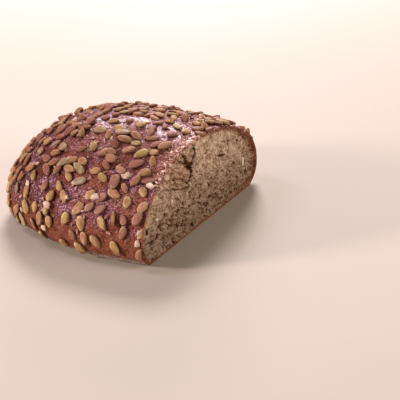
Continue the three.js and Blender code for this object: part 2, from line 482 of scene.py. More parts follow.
def rim_chain(crust, on_rim):
    """Indices of the boundary points that on_rim picks, in order from the front to the back."""
    edges = [e for e in crust.edges if e.is_boundary and all(on_rim(v.co) for v in e.verts)]
    neighbours = {}
    for edge in edges:
        a, b = (v.index for v in edge.verts)
        neighbours.setdefault(a, []).append(b)
        neighbours.setdefault(b, []).append(a)
    ends = [v for v, near in neighbours.items() if len(near) == 1]
    chain = [min(ends, key=lambda v: crust.verts[v].co.y)]
    while len(chain) < len(neighbours):
        chain.append(next(v for v in neighbours[chain[-1]] if v not in chain[-2:]))
    return chain


def inside_outline(points, outline):
    """Which points lie inside a closed outline."""
    inside = np.zeros(len(points), bool)
    for (x0, y0), (x1, y1) in zip(outline, np.roll(outline, -1, axis=0)):
        crosses = (y0 > points[:, 1]) != (y1 > points[:, 1])
        if y0 != y1:
            inside ^= crosses & (points[:, 0] < (x1 - x0) * (points[:, 1] - y0) / (y1 - y0) + x0)
    return inside


def outline_tree(outline, spacing=0.25):
    """A search tree of points close together along a closed outline."""
    stops = []
    for start, end in zip(outline, np.roll(outline, -1, axis=0)):
        count = max(1, math.ceil(np.linalg.norm(end - start) / spacing))
        stops.extend(lerp(start, end, share) for share in np.arange(count) / count)
    tree = KDTree(len(stops))
    for i, (a, b) in enumerate(stops):
        tree.insert((a, b, 0), i)
    tree.balance()
    return tree


def fill_face(outline, spacing):
    """Even triangles inside a flat outline: the added points, their distances from the outline,
    and the triangles over the outline's points followed by the added ones."""
    low, high = outline.min(axis=0), outline.max(axis=0)
    rows = np.arange(low[1], high[1], spacing * math.sqrt(3) / 2)
    columns = np.arange(low[0], high[0], spacing)
    a, b = np.meshgrid(columns, rows)
    a[1::2] += spacing / 2
    points = np.stack([a.ravel(), b.ravel()], axis=-1)
    points = points[inside_outline(points, outline)]
    tree = outline_tree(outline)
    distances = np.array([tree.find((x, y, 0))[2] for x, y in points])
    clear = distances > spacing * RIM_CLEARANCE
    points, distances = points[clear], distances[clear]
    everything = [Vector(p) for p in np.concatenate([outline, points]).tolist()]
    loop = [(i, (i + 1) % len(outline)) for i in range(len(outline))]
    inside_only, weld_within = 1, 1e-5
    _, _, triangles, sources, _, _ = delaunay_2d_cdt(everything, loop, [], inside_only, weld_within)
    return points, distances, [[sources[v][0] for v in triangle] for triangle in triangles]


def outward_faces(triangles, index, points, outward):
    """Triangles over the whole mesh's points, turned to face outwards."""
    placed = [[index[v] for v in triangle] for triangle in triangles]
    a, b, c = (points[[t[i] for t in placed]] for i in range(3))
    facing = np.cross(b - a, c - a) @ np.array(outward) > 0
    return [t if faces_out else t[::-1] for t, faces_out in zip(placed, facing)]


def close_loop(points, loop, axes, spacing, outward):
    """Closes a loop that is flat in two axes. Gives all the points, the added ones in those axes, their
    distances from the loop, and the triangles."""
    added, distances, triangles = fill_face(points[loop][:, axes], spacing)
    index = loop + list(range(len(points), len(points) + len(added)))
    placed = np.tile(points[loop[0]], (len(added), 1))
    placed[:, axes] = added
    points = np.concatenate([points, placed])
    return points, added, distances, outward_faces(triangles, index, points, outward)


def inside_branch(place, branch):
    """How far points are inside a tear's branch, as a share of its half width: 1 on its line."""
    depth = np.full(len(place), -1.0)
    for (a0, u0, w0), (a1, u1, w1) in zip(branch, branch[1:]):
        start, way = np.array([a0, u0]), np.array([a1 - a0, u1 - u0])
        share = np.clip((place - start) @ way / (way @ way), 0, 1)
        gap = np.linalg.norm(place - start - share[:, None] * way, axis=1)
        depth = np.maximum(depth, 1 - gap / lerp(w0, w1, share))
    return depth


def waves(value, kinds):
    """The sum of waves along a value, each with a size, a rate and a phase."""
    return sum(size * np.sin(rate * value + phase) for size, rate, phase in kinds)


def tear_and_holes(place):
    """How deep the cut face is torn or holed at points across and up."""
    across, up = place.T
    ragged = place + np.stack([waves(up, TEAR_WAVES_ACROSS), waves(across, TEAR_WAVES_UP)], axis=-1)
    inside = np.max([inside_branch(ragged, branch) for branch in TEAR_BRANCHES], axis=0)
    depth = TEAR_DEPTH * np.clip(inside * TEAR_STEEPNESS, 0, 1)
    for hole_across, hole_up, half_length, half_height, tilt in HOLES:
        cosine, sine = math.cos(math.radians(tilt)), math.sin(math.radians(tilt))
        da, du = across - hole_across, up - hole_up
        along = (da * cosine + du * sine) / half_length
        over = (du * cosine - da * sine) / half_height
        hollow = np.clip(1 - along**2 - over**2, 0, 1) ** HOLE_ROUNDNESS
        depth = np.maximum(depth, HOLE_DEPTH * hollow)
    return depth


def patch_share(points, middle, reach, fullness):
    """1 in the middle of a round patch, fading to 0 at its reach, the later the fuller it is."""
    distances = np.linalg.norm(points - middle, axis=1)
    return np.clip(fullness * (1 - distances / reach), 0, 1)


def torn_share(place):
    """How torn the crumb is at points across and up, from 0 to 1."""
    shares = [patch_share(place, (a, u), reach, TORN_FULLNESS) for a, u, reach in TORN_PATCHES]
    return np.max(shares, axis=0)


def torn_rim_share(points):
    """How torn the crust is near the torn part of its rim, from 0 to 1."""
    x, across, up = points.T
    low, high = FLAKE_REACH
    along_rim = ramp(across, low, low + TORN_RIM_FADE) * ramp(across, high, high - TORN_RIM_FADE)
    return ramp(x, CUT_X - TORN_RIM_WIDTH, CUT_X) * along_rim * ramp(up, *TORN_RIM_HEIGHTS)


def crust_torn_share(points):
    """How torn the crust is near the torn rim and at the burst blister, from 0 to 1."""
    burst = BURST_SHARE * patch_share(points, BURST_BLISTER, BURST_REACH, BURST_FULLNESS)
    return np.maximum(torn_rim_share(points), burst)


def ring_share(place, distances):
    """Distance from the rim in ring thicknesses: thin in front, thick at the back and base."""
    across, up = place.T
    back = ramp(across, *RING_BACK_SPAN) ** RING_BACK_ONSET
    front_foot = ramp(across, *RING_FOOT_SPAN) * ramp(up, *RING_FOOT_HEIGHTS)
    thickness = np.maximum(lerp(RING_FRONT, RING_BACK, back), RING_FOOT * front_foot)
    low = ramp(up, *RING_BASE_HEIGHTS) * (1 - front_foot)
    return distances / lerp(thickness, RING_BASE, low)


def store_facts(mesh, crust, first_crumb, crumb, rim_distance):
    """Keeps what the relief and the materials need to know at the crust's and the crumb's points."""

    def spread(first, values):
        """Values for a run of points, and 0 for all the others."""
        everything = np.zeros(len(mesh.vertices))
        everything[first : first + len(values)] = values
        return everything

    from_cut = ramp(crust[:, 0], CUT_X, CUT_X - CRUST_FADE_AT_CUT)
    from_base = ramp(crust[:, 2], 0, CRUST_FADE_AT_BASE)
    facts = {
        "of_crumb": spread(first_crumb, ramp(rim_distance, 0, CRUMB_FADE)),
        "of_crust": spread(0, from_cut * from_base),
        "ring": spread(first_crumb, ring_share(crumb, rim_distance)),
        "torn": spread(0, crust_torn_share(crust)) + spread(first_crumb, torn_share(crumb)),
        "tear": spread(first_crumb, tear_and_holes(crumb)),
    }
    for name, values in facts.items():
        set_attribute(mesh, name, "FLOAT", values)


def bread_mesh():
    """The cut loaf as one closed mesh, with what its relief and materials need to know."""
    crust = cut_crust()
    cut_rim = rim_chain(crust, lambda place: place.x == CUT_X)
    base_rim = rim_chain(crust, lambda place: place.z == 0)
    points = np.array([v.co for v in crust.verts])
    faces = [[v.index for v in face.verts] for face in crust.faces]
    crust.free()
    crust_count = len(points)

    # The straight edge that the cut face and the base share
    front, back = points[cut_rim[0]], points[cut_rim[-1]]
    steps = math.ceil(np.linalg.norm(back - front) / CRUMB_SPACING)
    edge = lerp(front, back, (np.arange(1, steps) / steps)[:, None])
    edge_rim = list(range(crust_count, crust_count + len(edge)))
    points = np.concatenate([points, edge])
    first_crumb = len(points)

    points, crumb, rim_distance, cut_faces = close_loop(
        points, cut_rim[::-1] + edge_rim, [1, 2], CRUMB_SPACING, OUT_OF_CUT
    )
    points, _, _, base_faces = close_loop(
        points, base_rim + edge_rim[::-1], [0, 1], BASE_SPACING, DOWN
    )
    mesh = bpy.data.meshes.new("bread")
    mesh.from_pydata((points * MM).tolist(), [], faces + cut_faces + base_faces)
    surface = [0] * len(faces) + [1] * len(cut_faces) + [2] * len(base_faces)
    mesh.attributes.new("surface", "INT", "FACE").data.foreach_set("value", surface)
    store_facts(mesh, points[:crust_count], first_crumb, crumb, rim_distance)
    return mesh


# Node trees


class Value:
    """A node's result. Arithmetic with it adds the Math nodes that do the sum."""

    def __init__(self, graph, socket):
        self.graph = graph
        self.socket = socket

    def __add__(self, other):
        return self.graph.math("ADD", self, other)

    def __sub__(self, other):
        return self.graph.math("SUBTRACT", self, other)

    def __rsub__(self, other):
        return self.graph.math("SUBTRACT", other, self)

    def __mul__(self, other):
        return self.graph.math("MULTIPLY", self, other)

    def __truediv__(self, other):
        return self.graph.math("DIVIDE", self, other)

    def __rtruediv__(self, other):
        return self.graph.math("DIVIDE", other, self)

    def __pow__(self, other):
        return self.graph.math("POWER", self, other)


class Graph:
    """A node tree under construction. Inputs are other nodes' results or plain values."""

    def __init__(self, tree):
        self.tree = tree

    def result(self, node, output=None):
        """A node's output of that name, or else the first one in use."""
        in_use = (socket for socket in node.outputs if socket.enabled)
        return Value(self, node.outputs[output] if output else next(in_use))

    def feed(self, node, inputs):
        """Sets a node's inputs, which go by their names or, where those repeat, by number."""
        for key, given in inputs.items():
            named = (s for s in node.inputs if s.enabled and s.name == key)
            socket = node.inputs[key] if isinstance(key, int) else next(named)
            if isinstance(given, bpy.types.Node):
                given = self.result(given)
            if isinstance(given, Value):
                self.tree.links.new(given.socket, socket)
            else:
                socket.default_value = given

    def add(self, kind, inputs=None, **settings):
        """A new node."""
        node = self.tree.nodes.new(kind)
        for name, setting in settings.items():
            setattr(node, name, setting)
        self.feed(node, inputs or {})
        return node

    def value(self, kind, inputs=None, output=None, **settings):
        """The result of a new node."""
        return self.result(self.add(kind, inputs, **settings), output)

    def math(self, operation, *values):
        """The result of a sum with numbers."""
        return self.value("ShaderNodeMath", dict(enumerate(values)), operation=operation)

    def largest(self, *values):
        """The largest of some numbers."""
        most = values[0]
        for value in values[1:]:
            most = self.math("MAXIMUM", most, value)
        return most

    def vector(self, operation, *values):
        """The result of a sum with vectors."""
        return self.value("ShaderNodeVectorMath", dict(enumerate(values)), operation=operation)

    def times(self, vector, factor):
        """A vector made longer or shorter by a factor."""
        return self.value("ShaderNodeVectorMath", {"Vector": vector, "Scale": factor}, operation="SCALE")

    def axes(self, vector):
        """A vector's three parts."""
        node = self.add("ShaderNodeSeparateXYZ", {"Vector": vector})
        return [self.result(node, axis) for axis in "XYZ"]

    def join(self, x, y, z):
        """A vector of three parts."""
        return self.value("ShaderNodeCombineXYZ", {"X": x, "Y": y, "Z": z})

    def fade(self, value, start, end, low=0.0, high=1.0):
        """Goes smoothly from low, where value is start, to high, where it is end."""
        places = {"Value": value, "From Min": start, "From Max": end, "To Min": low, "To Max": high}
        return self.value("ShaderNodeMapRange", places, interpolation_type="SMOOTHSTEP")

    def noise(self, place, size, detail=2.0, roughness=0.5, distortion=0.0):
        """Cloudy values about 0.5, with clouds of the given size."""
        inputs = {
            "Vector": place,
            "Scale": 1 / size,
            "Detail": detail,
            "Roughness": roughness,
            "Distortion": distortion,
        }
        return self.value("ShaderNodeTexNoise", inputs)

    def clouds(self, place, size, detail=2.0):
        """Cloudy vectors about (0.5, 0.5, 0.5)."""
        inputs = {"Vector": place, "Scale": 1 / size, "Detail": detail}
        return self.value("ShaderNodeTexNoise", inputs, "Color")

    def cells(self, place, size):
        """Scattered cells of the given size: distance from their middles, and a random colour."""
        node = self.add("ShaderNodeTexVoronoi", {"Vector": place, "Scale": 1 / size})
        return self.result(node, "Distance"), self.result(node, "Color")

    def mix(self, share, low, high, label=""):
        """A colour between low and high, which are results or colours as seen on a screen."""
        node = self.add("ShaderNodeMix", data_type="RGBA", label=label)
        for number, given in ((0, share), (6, low), (7, high)):
            self.feed(node, {number: srgb(*given) if isinstance(given, tuple) else given})
        return Value(self, node.outputs[2])

    def layered(self, colour, layers):
        """A colour under layers, each with a name, a colour and the share of it that shows."""
        for name, over, share in layers:
            colour = self.mix(share, colour, over, name)
        return colour

    def named(self, name, kind="FLOAT"):
        """A mesh attribute in a geometry tree."""
        return self.value("GeometryNodeInputNamedAttribute", {"Name": name}, data_type=kind)

    def store(self, geometry, name, value, kind="FLOAT"):
        """Keeps a value as a mesh attribute."""
        inputs = {"Geometry": geometry, "Name": name, "Value": value}
        return self.add("GeometryNodeStoreNamedAttribute", inputs, data_type=kind, domain="POINT")

    def attribute(self, name, output="Fac"):
        """A mesh attribute in a material."""
        return self.value("ShaderNodeAttribute", output=output, attribute_name=name)


def geometry_tree(name, sockets):
    """A geometry tree with named inputs, and their values in the tree by name."""
    tree = bpy.data.node_groups.new(name, "GeometryNodeTree")
    tree.interface.new_socket("Geometry", in_out="OUTPUT", socket_type="NodeSocketGeometry")
    tree.interface.new_socket("Geometry", in_out="INPUT", socket_type="NodeSocketGeometry")
    for socket_name, kind in sockets.items():
        tree.interface.new_socket(socket_name, in_out="INPUT", socket_type="NodeSocket" + kind)
    graph = Graph(tree)
    return graph, {s.name: Value(graph, s) for s in graph.add("NodeGroupInput").outputs}


def run_tree(piece, graph, settings):
    """Runs a geometry tree on a piece with its inputs set, and keeps the result as a plain mesh."""
    modifier = piece.modifiers.new(graph.tree.name, "NODES")
    modifier.node_group = graph.tree
    for item in graph.tree.interface.items_tree:
        if item.in_out == "INPUT" and item.name in settings:
            modifier[item.identifier] = settings[item.name]
    depsgraph = bpy.context.evaluated_depsgraph_get()
    made = bpy.data.meshes.new_from_object(piece.evaluated_get(depsgraph))
    piece.modifiers.remove(modifier)
    before = piece.data
    piece.data = made
    bpy.data.meshes.remove(before)
    made.name = piece.name
    return piece


# Where the seeds and the chips of crust lie


def random_draws(start):
    """Mulberry32: an even random draw from 0 to 1, the same on every run."""
    mask = 0xFFFFFFFF
    state = start
    while True:
        state = (state + 0x6D2B79F5) & mask
        mixed = ((state ^ (state >> 15)) * (state | 1)) & mask
        mixed = ((mixed + ((mixed ^ (mixed >> 7)) * (mixed | 61))) & mask) ^ mixed
        yield (mixed ^ (mixed >> 14)) / 2**32


def bare_foot(x):
    """Height of the seedless band above the base: tallest beside the cut."""
    far_end = CUT_X - CUT_PAST_MIDDLE - LOAF_LENGTH / 2
    return lerp(BARE_FOOT_AT_END, BARE_FOOT_AT_CUT, (x - far_end) / (CUT_X - far_end))


def is_glossy(point):
    """Whether a point of the crust lies well within one of the top's glossy patches."""
    return any(
        math.dist(point[:2], (along, across)) < GLOSS_FREE_OF_SEEDS * reach
        for along, across, reach in GLOSS_PATCHES
    )


def scatter_seeds():
    """Seeds spread evenly over the crust, each with its point, ways, length, width, turn and lift."""
    draws = random_draws(RANDOM_START)
    most_stretch = STRETCH_MARGIN * LOAF_LENGTH * LOAF_WIDTH / 4
    seeds = []
    far_away = 1e6
    places = np.full((1, 3), far_away)
    rounds = [given for given in SEED_ROUNDS for _ in range(given[0])]
    for _ in range(SEED_TRIES):
        if len(seeds) == len(rounds):
            break
        _, spacing, least_upward, lift, lower = rounds[len(seeds)]
        plan_angle = 2 * math.pi * next(draws)
        point, ways, stretch = crust_frame(plan_angle, math.asin(2 * next(draws) - 1))
        facing_up = ways[2][2]
        even = next(draws) * most_stretch < stretch
        foot = max(bare_foot(point[0]) - lower, BARE_FOOT_AT_END)
        seeded = point[0] < CUT_X and point[2] > foot and facing_up > least_upward
        if len(seeds) >= SEED_COUNT and is_glossy(point):
            continue
        if not (even and seeded and np.linalg.norm(places - point, axis=1).min() > spacing):
            continue
        small_share = len(seeds) / SEED_COUNT if len(seeds) < SEED_COUNT else next(draws)
        length = lerp(SEED_LENGTH_LARGEST, SEED_LENGTH_SMALLEST, small_share)
        width = length * lerp(SEED_SLIMMEST, SEED_BROADEST, next(draws))
        spread = lerp(LEAN_SPREAD, math.pi, max(facing_up, 0) ** LEAN_ONSET)
        upright = math.pi / 2 if next(draws) < 0.5 else -math.pi / 2
        turn = upright + spread * (2 * next(draws) - 1)
        seeds.append((point, ways, length, width, turn, lift))
        places = np.vstack([places, point])
    return seeds


def lie_of(tip, normal, tilt_along, tilt_across):
    """The turn of a seed whose tip and crown point those ways, rocked a little."""
    side = np.cross(normal, tip)
    flat = Matrix((tip, side, normal)).transposed().to_quaternion()
    return flat @ Quaternion((0, 1, 0), tilt_along) @ Quaternion((1, 0, 0), tilt_across)


def rocked_lie(random, ways, turn, rock):
    """The lie of a seed with its tip turned round the crust's normal, rocked at random."""
    round_way, slope, normal = ways
    tip = round_way * math.cos(turn) + slope * math.sin(turn)
    return lie_of(tip, normal, random.normal(0, rock), random.normal(0, rock))


def whole_seed_placings(seeds, random):
    """Whole seeds pressed into the crust, apart from those that the torn rim took with it."""
    placings = []
    for point, ways, length, width, turn, lift in seeds:
        if torn_rim_share(point[None])[0] > TORN_FREE_OF_SEEDS:
            continue
        lie = rocked_lie(random, ways, turn, SEED_TILT)
        thickness = SEED_THICKNESS * random.uniform(*SEED_THICKNESS_SHARES)
        height = SEED_CROWN - SEED_THICKNESS / 2 + lift + random.uniform(*SEED_HEIGHT_SHIFTS)
        tone = random.uniform(lerp(RIPENESS_AT_BASE, 0.0, min(point[2] / PALE_SEEDS_BELOW, 1)), 1)
        placings.append((point + ways[2] * height, lie, (length, width, thickness), tone))
    return placings


def standing_seed_placings(random):
    """Seeds that stand on their edges, with their broad sides facing along the loaf."""
    placings = []
    for along, up, side, length in STANDING_SEEDS:
        point, (round_way, slope, normal), _ = crust_frame(*crust_spot(along, up, side))
        lie = lie_of(slope, round_way, *STANDING_TILTS)
        size = (length, length * SEED_BROADEST, STANDING_THICKNESS)
        placings.append((point + normal * STANDING_LIFT, lie, size, random.uniform(*STANDING_TONES)))
    return placings


def broken_seed_spots(seeds):
    """Where the snapped kernels lie, and how long they are if that is known."""
    spots = [(*crust_spot(along, up), length) for along, up, length in PALE_KERNELS]
    draws = random_draws(BROKEN_START)
    taken = [seed[0] for seed in seeds] + [crust_points(*spot[:2]) for spot in spots]
    while len(spots) < BROKEN_COUNT:
        plan_angle, rise = 2 * math.pi * next(draws), math.asin(next(draws))
        point = crust_points(plan_angle, rise)
        clear = np.linalg.norm(np.array(taken) - point, axis=1).min() > BROKEN_SPACING
        if point[0] < CUT_X - BROKEN_FROM_CUT and point[2] > bare_foot(point[0]) and clear:
            taken.append(point)
            spots.append((plan_angle, rise, None))
    return spots


def broken_seed_placings(seeds, random):
    """Snapped kernels on and between the whole seeds."""
    placings = []
    for plan_angle, rise, length in broken_seed_spots(seeds):
        point, ways, _ = crust_frame(plan_angle, rise)
        lie = rocked_lie(random, ways, random.uniform(0, 2 * math.pi), BROKEN_ROCK)
        length = length or random.uniform(*BROKEN_LENGTHS)
        width = length * random.uniform(*BROKEN_WIDTHS)
        size = (UNSNAPPED_LENGTH * length, width, random.uniform(*BROKEN_THICKNESSES))
        near_seed = min(np.linalg.norm(seed[0] - point) for seed in seeds) < ON_SEED_WITHIN
        place = point + ways[2] * (LIFT_ON_SEED if near_seed else LIFT_ON_CRUST)
        placings.append((place, lie, size, random.uniform()))
    return placings


def chip(random, ways, rock, lengths, widths, thicknesses, shortness=1):
    """A random lie and size for a chip. The more shortness, the more of the chips are short."""
    lie = rocked_lie(random, ways, random.uniform(0, 2 * math.pi), rock)
    length = lerp(*lengths, random.uniform() ** shortness)
    return lie, (length, length * random.uniform(*widths), random.uniform(*thicknesses))


def flake_placings(random):
    """Curled flakes of crust along the torn part of the rim."""
    placings = []
    for _ in range(FLAKE_COUNT):
        edge = crust_at_cut(random.uniform(*FLAKE_REACH))
        inward = random.uniform(*FLAKE_INWARD)
        place = edge + np.array([min(inward, 0), 0, -max(inward, 0)]) + FLAKE_LIFT
        lie, size = chip(random, np.eye(3), **TORN_FLAKE)
        placings.append((place, lie, size, random.uniform()))
    return placings


def skin_flake_placings(random):
    """Chips of seed skin and lifted crust, strewn over the whole loaf."""
    placings = []
    while len(placings) < SKIN_FLAKE_COUNT:
        plan_angle, rise = random.uniform(-math.pi, math.pi), math.asin(random.uniform())
        point, ways, _ = crust_frame(plan_angle, rise)
        lie, size = chip(random, ways, **SKIN_FLAKE)
        if point[0] < CUT_X - SKIN_FLAKE_FROM_CUT and point[2] > bare_foot(point[0]):
            tone = random.uniform(*SKIN_FLAKE_TONES)
            placings.append((point + ways[2] * SKIN_FLAKE_LIFT, lie, size, tone))
    return placings


def rim_chip_placings(random):
    """Small chips of crust along the rest of the rim, where it broke under the knife."""
    placings = []
    for _ in range(RIM_CHIP_COUNT):
        edge = crust_at_cut(random.uniform(*RIM_CHIP_REACH))
        along, up = (random.uniform(*shifts) for shifts in RIM_CHIP_SHIFTS)
        lie, size = chip(random, np.eye(3), **RIM_CHIP)
        placings.append((edge + np.array([along, 0, up]), lie, size, random.uniform(*RIM_CHIP_TONES)))
    return placings


def sliver_placings():
    """Seeds baked into the crumb, cut through along their edges."""
    placings = []
    for across, up, length, width, tilt in SLIVERS:
        tip = np.array([0, math.sin(tilt), math.cos(tilt)])
        place = np.array([CUT_X + SLIVER_PROUD, across, up])
        size = (length, width, SLIVER_THICKNESS)
        placings.append((place, lie_of(tip, np.array(OUT_OF_CUT), 0, 0), size, SLIVER_TONE))
    return placings


# The kernels: whole seeds, snapped ones, chips and slivers


def placed_points(name, placings):
    """A piece of points, one for each kernel, with its place, lie, size and tone."""
    places, lies, sizes, tones = zip(*placings)
    mesh = bpy.data.meshes.new(name)
    mesh.from_pydata([tuple(place * MM) for place in places], [], [])
    set_attribute(mesh, "lie", "QUATERNION", [tuple(lie) for lie in lies])
    set_attribute(mesh, "size", "FLOAT_VECTOR", [[s * MM / 2 for s in size] for size in sizes])
    set_attribute(mesh, "tone", "FLOAT", tones)
    return new_piece(name, mesh)


def kernel_tree():
    """Sets a kernel on every point: a flattened oval, slimmer at its tip, each a little warped."""
    graph, given = geometry_tree("kernels_on_crust", {**KERNEL_INPUTS, "Skin": "Material"})
    divisions = {name: given[name] for name in ("Segments", "Rings")}
    ball = graph.add("GeometryNodeMeshUVSphere", divisions)
    position = graph.value("GeometryNodeInputPosition")
    x, y, z = graph.axes(position)
    slimmer = 1 - x * given["Taper"]
    pointed = 1 - graph.largest(x, 0.0) ** 2 * given["Pointedness"]
    off_axis = graph.math("SQRT", x**2 + y**2)
    outward = graph.largest(off_axis, AXIS_CLEARANCE) ** -PLATE_SHARE
    shape = graph.join(
        graph.math("MINIMUM", x * outward, given["Snapped at"]),
        y * (slimmer * pointed * outward),
        graph.math("SIGN", z) * graph.math("ABSOLUTE", z) ** given["Squareness"],
    )
    kernel = graph.add("GeometryNodeSetPosition", {"Geometry": ball, "Position": shape})
    placing = {
        "Points": given["Geometry"],
        "Instance": graph.store(kernel, "kernel_place", position, "FLOAT_VECTOR"),
        "Rotation": graph.named("lie", "QUATERNION"),
        "Scale": graph.named("size", "FLOAT_VECTOR"),
    }
    placed = graph.add("GeometryNodeInstanceOnPoints", placing)
    real = graph.add("GeometryNodeRealizeInstances", {"Geometry": placed})
    clouds = graph.clouds(graph.times(position, 1 / MM), given["Warp size"], 1.0)
    shift = graph.vector("SUBTRACT", clouds, (0.5, 0.5, 0.5))
    warp = graph.times(shift, given["Warp height"] * (2 * MM))
    warped = graph.add("GeometryNodeSetPosition", {"Geometry": real, "Offset": warp})
    smooth = graph.add("GeometryNodeSetShadeSmooth", {"Geometry": warped})
    skinned = graph.add("GeometryNodeSetMaterial", {"Geometry": smooth, "Material": given["Skin"]})
    graph.add("NodeGroupOutput", {"Geometry": skinned})
    return graph


def make_kernels(tree, name, placings, skin):
    """A piece with a kernel of its kind at each placing."""
    shape = dict(zip(KERNEL_INPUTS, KERNEL_SHAPES[name]))
    return run_tree(placed_points(name, placings), tree, {**shape, "Skin": skin})


def trim_kernels(piece, flesh):
    """Cuts the kernels that reach past the cut face flush with it, and shows their flesh there."""
    piece.data.materials.append(flesh)
    kernels = bmesh.new()
    kernels.from_mesh(piece.data)
    cut_off(kernels, (CUT_X * MM, 0, 0), OUT_OF_CUT, KERNEL_SNAP)
    open_edges = [e for e in kernels.edges if e.is_boundary]
    for face in bmesh.ops.holes_fill(kernels, edges=open_edges, sides=0)["faces"]:
        face.material_index = 1
        face.smooth = False
        if face.normal.x < 0:
            face.normal_flip()
    kernels.to_mesh(piece.data)
    kernels.free()


# Relief of the crust and the crumb


def stir(graph, place, size, amount):
    """Shifts places about by clouds of the given size, so that what is drawn there gets ragged."""
    return graph.vector("ADD", place, graph.times(graph.clouds(place, size), amount))


def along_pores(graph, place):
    """A place in which lengths along the pores' way count for less, so that they come out longer."""
    _, way_across, way_up = PORE_WAY
    along = graph.vector("DOT_PRODUCT", place, PORE_WAY)
    over = graph.vector("DOT_PRODUCT", place, (0.0, -way_up, way_across))
    return graph.join(graph.axes(place)[0], along / PORE_STRETCH, over)


def pits(graph, place, up, size, rarity):
    """Ragged pits, deepest in their middles and more of them low in the loaf."""
    edge = graph.fade(up, 66, 20, rarity, rarity - 0.06)
    return graph.fade(graph.noise(place, size, 2, 0.5) - edge, 0.0, 0.09)


def relief_tree():
    """Wrinkles and blisters on the crust, and pores, lumps and the tear on the cut face."""
    sockets = {"Seeds": "Object"}
    sockets.update({name: "Float" for name in RELIEF_SIZES})
    sockets.update({name: "Material" for name in SURFACES})
    graph, given = geometry_tree("crust_and_crumb_relief", sockets)
    fade, noise, named = graph.fade, graph.noise, graph.named
    position = graph.value("GeometryNodeInputPosition")
    place = graph.times(position, 1 / MM)
    up = graph.axes(place)[2]
    torn = named("torn")

    # Crust
    wrinkle = noise(place, 4.5, 3, 0.6, 0.6) - 0.5
    rougher = given["Wrinkle height"] * fade(up, 45, 75, 1.0, 1.9)
    blister = fade(graph.cells(place, 6.5)[0], 0.5, 0.0) * fade(noise(place, 22, 1), 0.48, 0.62)
    splinter = (noise(place, 2.6, 2, 0.6) - 0.5) * torn
    seeds = graph.value("GeometryNodeObjectInfo", {"Object": given["Seeds"]}, "Geometry")
    nearest = {0: seeds, "Sample Position": position}
    gap = graph.value("GeometryNodeProximity", nearest, "Distance", target_element="FACES") * (1 / MM)
    crust_rise = wrinkle * rougher + blister * given["Blister height"]
    crust_rise = crust_rise + splinter * given["Splinter height"]
    crust_rise = (crust_rise - fade(gap, 1.8, 0.0) * given["Seed dip"]) * named("of_crust")

    # Crumb
    drawn_out = along_pores(graph, place)
    ragged = stir(graph, drawn_out, 1.6, 1.2)
    grain = noise(ragged, 1.8, 3, 0.65) - 0.5
    wide_pit = pits(graph, graph.vector("ADD", ragged, (0, 40, 0)), up, 5.0, 0.665)
    pit = graph.largest(pits(graph, ragged, up, 2.3, 0.625), wide_pit * 1.7)
    crags = noise(stir(graph, drawn_out, 5.0, 3.0), 3.4, 4, 0.62)
    crag = fade(crags, 0.34, 0.62, -1.0, 1.0) * torn
    crumb_rise = grain * given["Grain height"] + crag * given["Torn height"]
    crumb_rise = crumb_rise - pit * given["Pit depth"] - named("tear")
    crumb_rise = crumb_rise * named("of_crumb")

    shaped = given["Geometry"]
    kept = {"wrinkle": wrinkle, "seed_gap": gap, "grain": grain, "pit": pit, "crag": crag}
    for name, value in kept.items():
        shaped = graph.store(shaped, name, value)
    offset = graph.times(graph.add("GeometryNodeInputNormal"), (crust_rise + crumb_rise) * MM)
    shaped = graph.add("GeometryNodeSetPosition", {"Geometry": shaped, "Offset": offset})
    shaped = graph.add("GeometryNodeSetShadeSmooth", {"Geometry": shaped})
    shaped = graph.add("GeometryNodeRealizeInstances", {"Geometry": shaped})
    surface = named("surface", "INT")
    for number, name in enumerate(SURFACES):
        compared = {2: surface, 3: number}
        picked = graph.add("FunctionNodeCompare", compared, data_type="INT", operation="EQUAL")
        inputs = {"Geometry": shaped, "Selection": picked, "Material": given[name]}
        shaped = graph.add("GeometryNodeSetMaterial", inputs)
    graph.add("NodeGroupOutput", {"Geometry": shaped})
    return graph


# Materials, with colours as seen on a screen


def new_material(name, constants):
    """A material with its shader's constant values set, its graph, its shader, and the place of a
    shading point in millimetres."""
    material = bpy.data.materials.new(name)
    material.use_nodes = True
    graph = Graph(material.node_tree)
    shader = material.node_tree.nodes["Principled BSDF"]
    graph.feed(shader, constants)
    place = graph.times(graph.value("ShaderNodeTexCoord", output="Object"), 1 / MM)
    return material, graph, shader, place


def bumped(graph, height, depth):
    """A fine relief, depth millimetres deep."""
    return graph.add("ShaderNodeBump", {"Height": height, "Distance": depth * MM})


def on_gloss_patches(graph, place):
    """1 in the middle of the top's glossy patches, fading to 0 at their edges."""
    flat = graph.vector("MULTIPLY", place, (1, 1, 0))
    shares = []
    for along, across, reach in GLOSS_PATCHES:
        distance = graph.vector("DISTANCE", flat, (along, across, 0))
        shares.append(graph.fade(distance, reach, GLOSS_FULL_WITHIN * reach))
    return graph.largest(*shares) * graph.fade(graph.axes(place)[2], *GLOSS_HEIGHTS)


